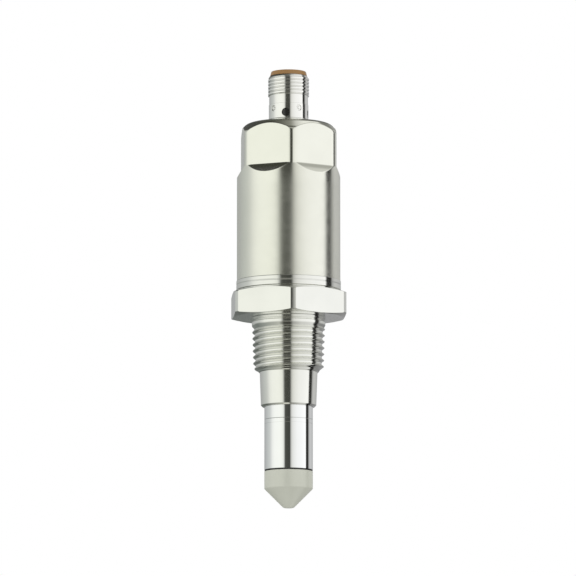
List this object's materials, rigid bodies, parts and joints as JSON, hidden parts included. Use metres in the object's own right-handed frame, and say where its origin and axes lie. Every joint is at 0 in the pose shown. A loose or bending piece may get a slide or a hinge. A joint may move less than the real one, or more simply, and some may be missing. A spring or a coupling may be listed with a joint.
{
  "type": "point level sensor",
  "caption": "Point level sensor with stainless steel housing, spanner flats, hex flange, taper process thread, polished probe, conical plastic tip and round threaded plug connector.",
  "frame": {"origin": "on the sensor's axis at the underside of the hex flange, where the process thread begins", "axes": "+Z along the axis to the plug connector, -Z along the probe into the tank, +X and -X across two flats of the hex flange, -Y to the front corner of the flange in the picture's view"},
  "size_m": [0.0322, 0.0364, 0.1275],
  "materials": {
    "steel_turned": "fine turned and milled stainless steel",
    "steel_polished": "polished stainless steel",
    "steel_bright": "bright turned stainless steel",
    "amber_plastic": "satin moulded amber plastic",
    "smoked_window": "dark glossy window",
    "light_guide": "clear moulded plastic",
    "status_lamp": "lamp body",
    "seal_rubber": "matt black rubber",
    "tip_plastic": "satin machined grey-beige plastic",
    "gold_plating": "gold plated contact",
    "electrode_brass": "turned brass",
    "circuit_board": "solder mask on laminate",
    "chip_black": "moulded black package",
    "ferrite": "dark sintered core",
    "capacitor_can": "drawn can",
    "holder_plastic": "natural white plastic",
    "link_film": "amber film",
    "spring_bronze": "rolled bronze strip"
  },
  "bodies": {
    "root": {"contact_carrier": "amber_plastic", "connector_sleeve": "steel_bright", "status_window_1": "smoked_window", "status_window_2": "smoked_window", "status_window_3": "smoked_window", "status_window_4": "smoked_window", "carrier_seal": "seal_rubber", "contact_pin_1": "gold_plating", "contact_pin_2": "gold_plating", "contact_pin_3": "gold_plating", "contact_pin_4": "gold_plating", "light_ring": "light_guide", "status_board": "circuit_board", "status_led_1": "status_lamp", "status_led_2": "status_lamp", "status_led_3": "status_lamp", "status_led_4": "status_lamp", "housing": "steel_turned", "process_fitting": "steel_turned", "probe_tube": "steel_polished", "tip_seal": "seal_rubber", "sensing_tip": "tip_plastic", "insulating_sleeve": "holder_plastic", "inner_electrode": "electrode_brass", "main_board": "circuit_board", "board_link": "link_film", "processor_chip": "chip_black", "driver_chip": "chip_black", "inductor": "ferrite", "capacitor_1": "capacitor_can", "capacitor_2": "capacitor_can", "ground_spring": "spring_bronze", "lower_holder": "holder_plastic", "upper_holder": "holder_plastic"}
  },
  "joints": []
}
